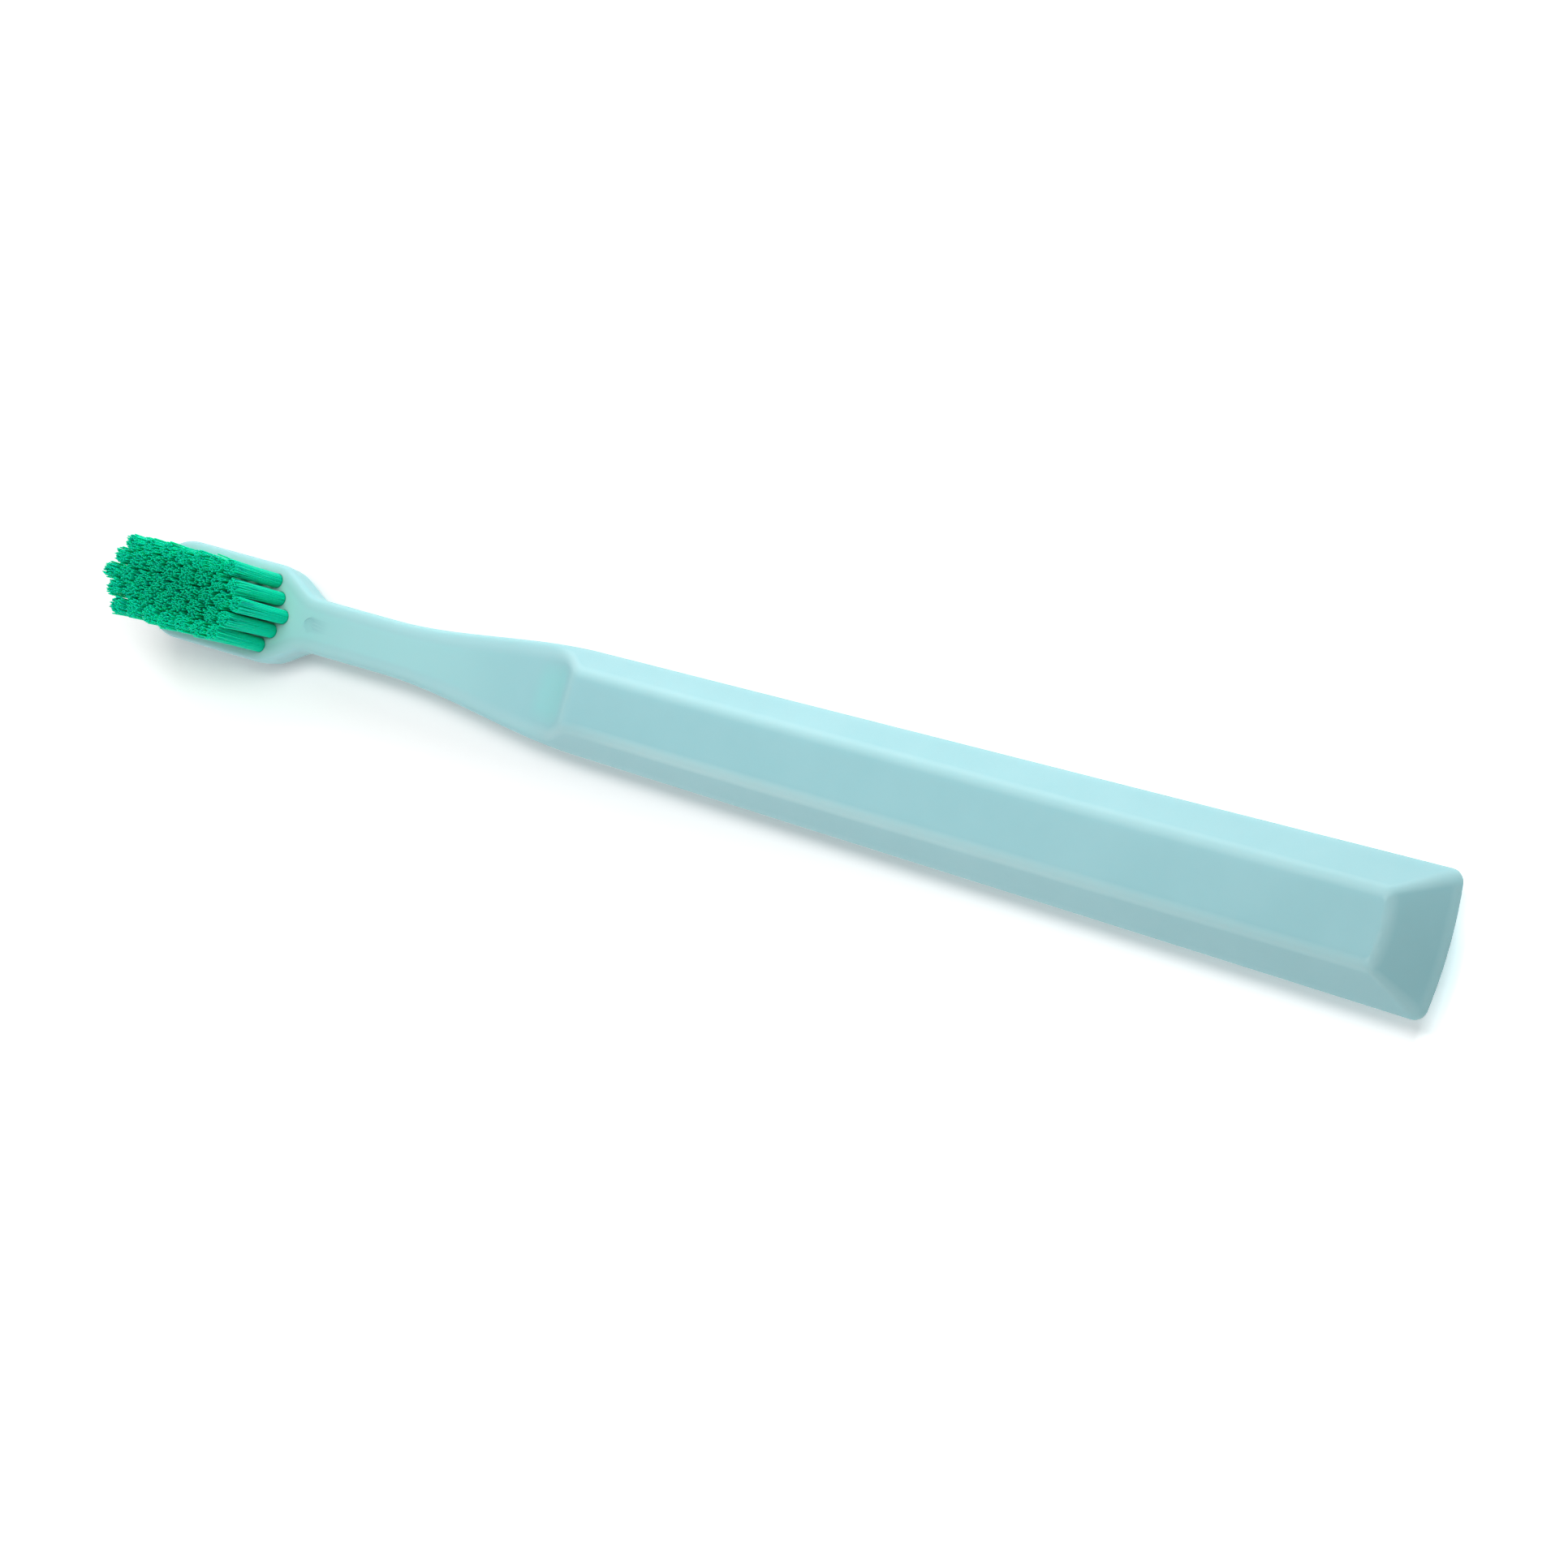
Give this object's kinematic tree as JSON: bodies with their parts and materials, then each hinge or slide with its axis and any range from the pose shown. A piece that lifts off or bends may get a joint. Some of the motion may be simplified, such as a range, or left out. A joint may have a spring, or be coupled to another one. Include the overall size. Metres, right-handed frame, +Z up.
{
  "type": "manual toothbrush",
  "caption": "Slim faceted plastic toothbrush with a sloped thumb rest, narrow neck and round-ended head carrying staggered bristle tufts held by anchor plates.",
  "frame": {"origin": "on the table under the middle of the brush as it lies on its back", "axes": "+X along the brush from the head to the handle's end, +Z up, the way the bristles point"},
  "size_m": [0.181, 0.0162, 0.0156],
  "materials": {
    "handle_plastic": "satin pale aqua",
    "bristle_nylon": "semi-gloss green filament",
    "anchor_metal": "drawn flat wire"
  },
  "bodies": {
    "root": {"handle": "handle_plastic", "tuft_row1_1": "bristle_nylon", "tuft_row1_2": "bristle_nylon", "tuft_row1_3": "bristle_nylon", "tuft_row1_4": "bristle_nylon", "tuft_row1_5": "bristle_nylon", "tuft_row1_6": "bristle_nylon", "tuft_row1_7": "bristle_nylon", "tuft_row2_1": "bristle_nylon", "tuft_row2_2": "bristle_nylon", "tuft_row2_3": "bristle_nylon", "tuft_row2_4": "bristle_nylon", "tuft_row2_5": "bristle_nylon", "tuft_row2_6": "bristle_nylon", "tuft_row2_7": "bristle_nylon", "tuft_row2_8": "bristle_nylon", "tuft_row3_1": "bristle_nylon", "tuft_row3_2": "bristle_nylon", "tuft_row3_3": "bristle_nylon", "tuft_row3_4": "bristle_nylon", "tuft_row3_5": "bristle_nylon", "tuft_row3_6": "bristle_nylon", "tuft_row3_7": "bristle_nylon", "tuft_row3_8": "bristle_nylon", "tuft_row3_9": "bristle_nylon", "tuft_row4_1": "bristle_nylon", "tuft_row4_2": "bristle_nylon", "tuft_row4_3": "bristle_nylon", "tuft_row4_4": "bristle_nylon", "tuft_row4_5": "bristle_nylon", "tuft_row4_6": "bristle_nylon", "tuft_row4_7": "bristle_nylon", "tuft_row4_8": "bristle_nylon", "tuft_row5_1": "bristle_nylon", "tuft_row5_2": "bristle_nylon", "tuft_row5_3": "bristle_nylon", "tuft_row5_4": "bristle_nylon", "tuft_row5_5": "bristle_nylon", "tuft_row5_6": "bristle_nylon", "tuft_row5_7": "bristle_nylon", "tuft_anchors": "anchor_metal"}
  },
  "joints": []
}
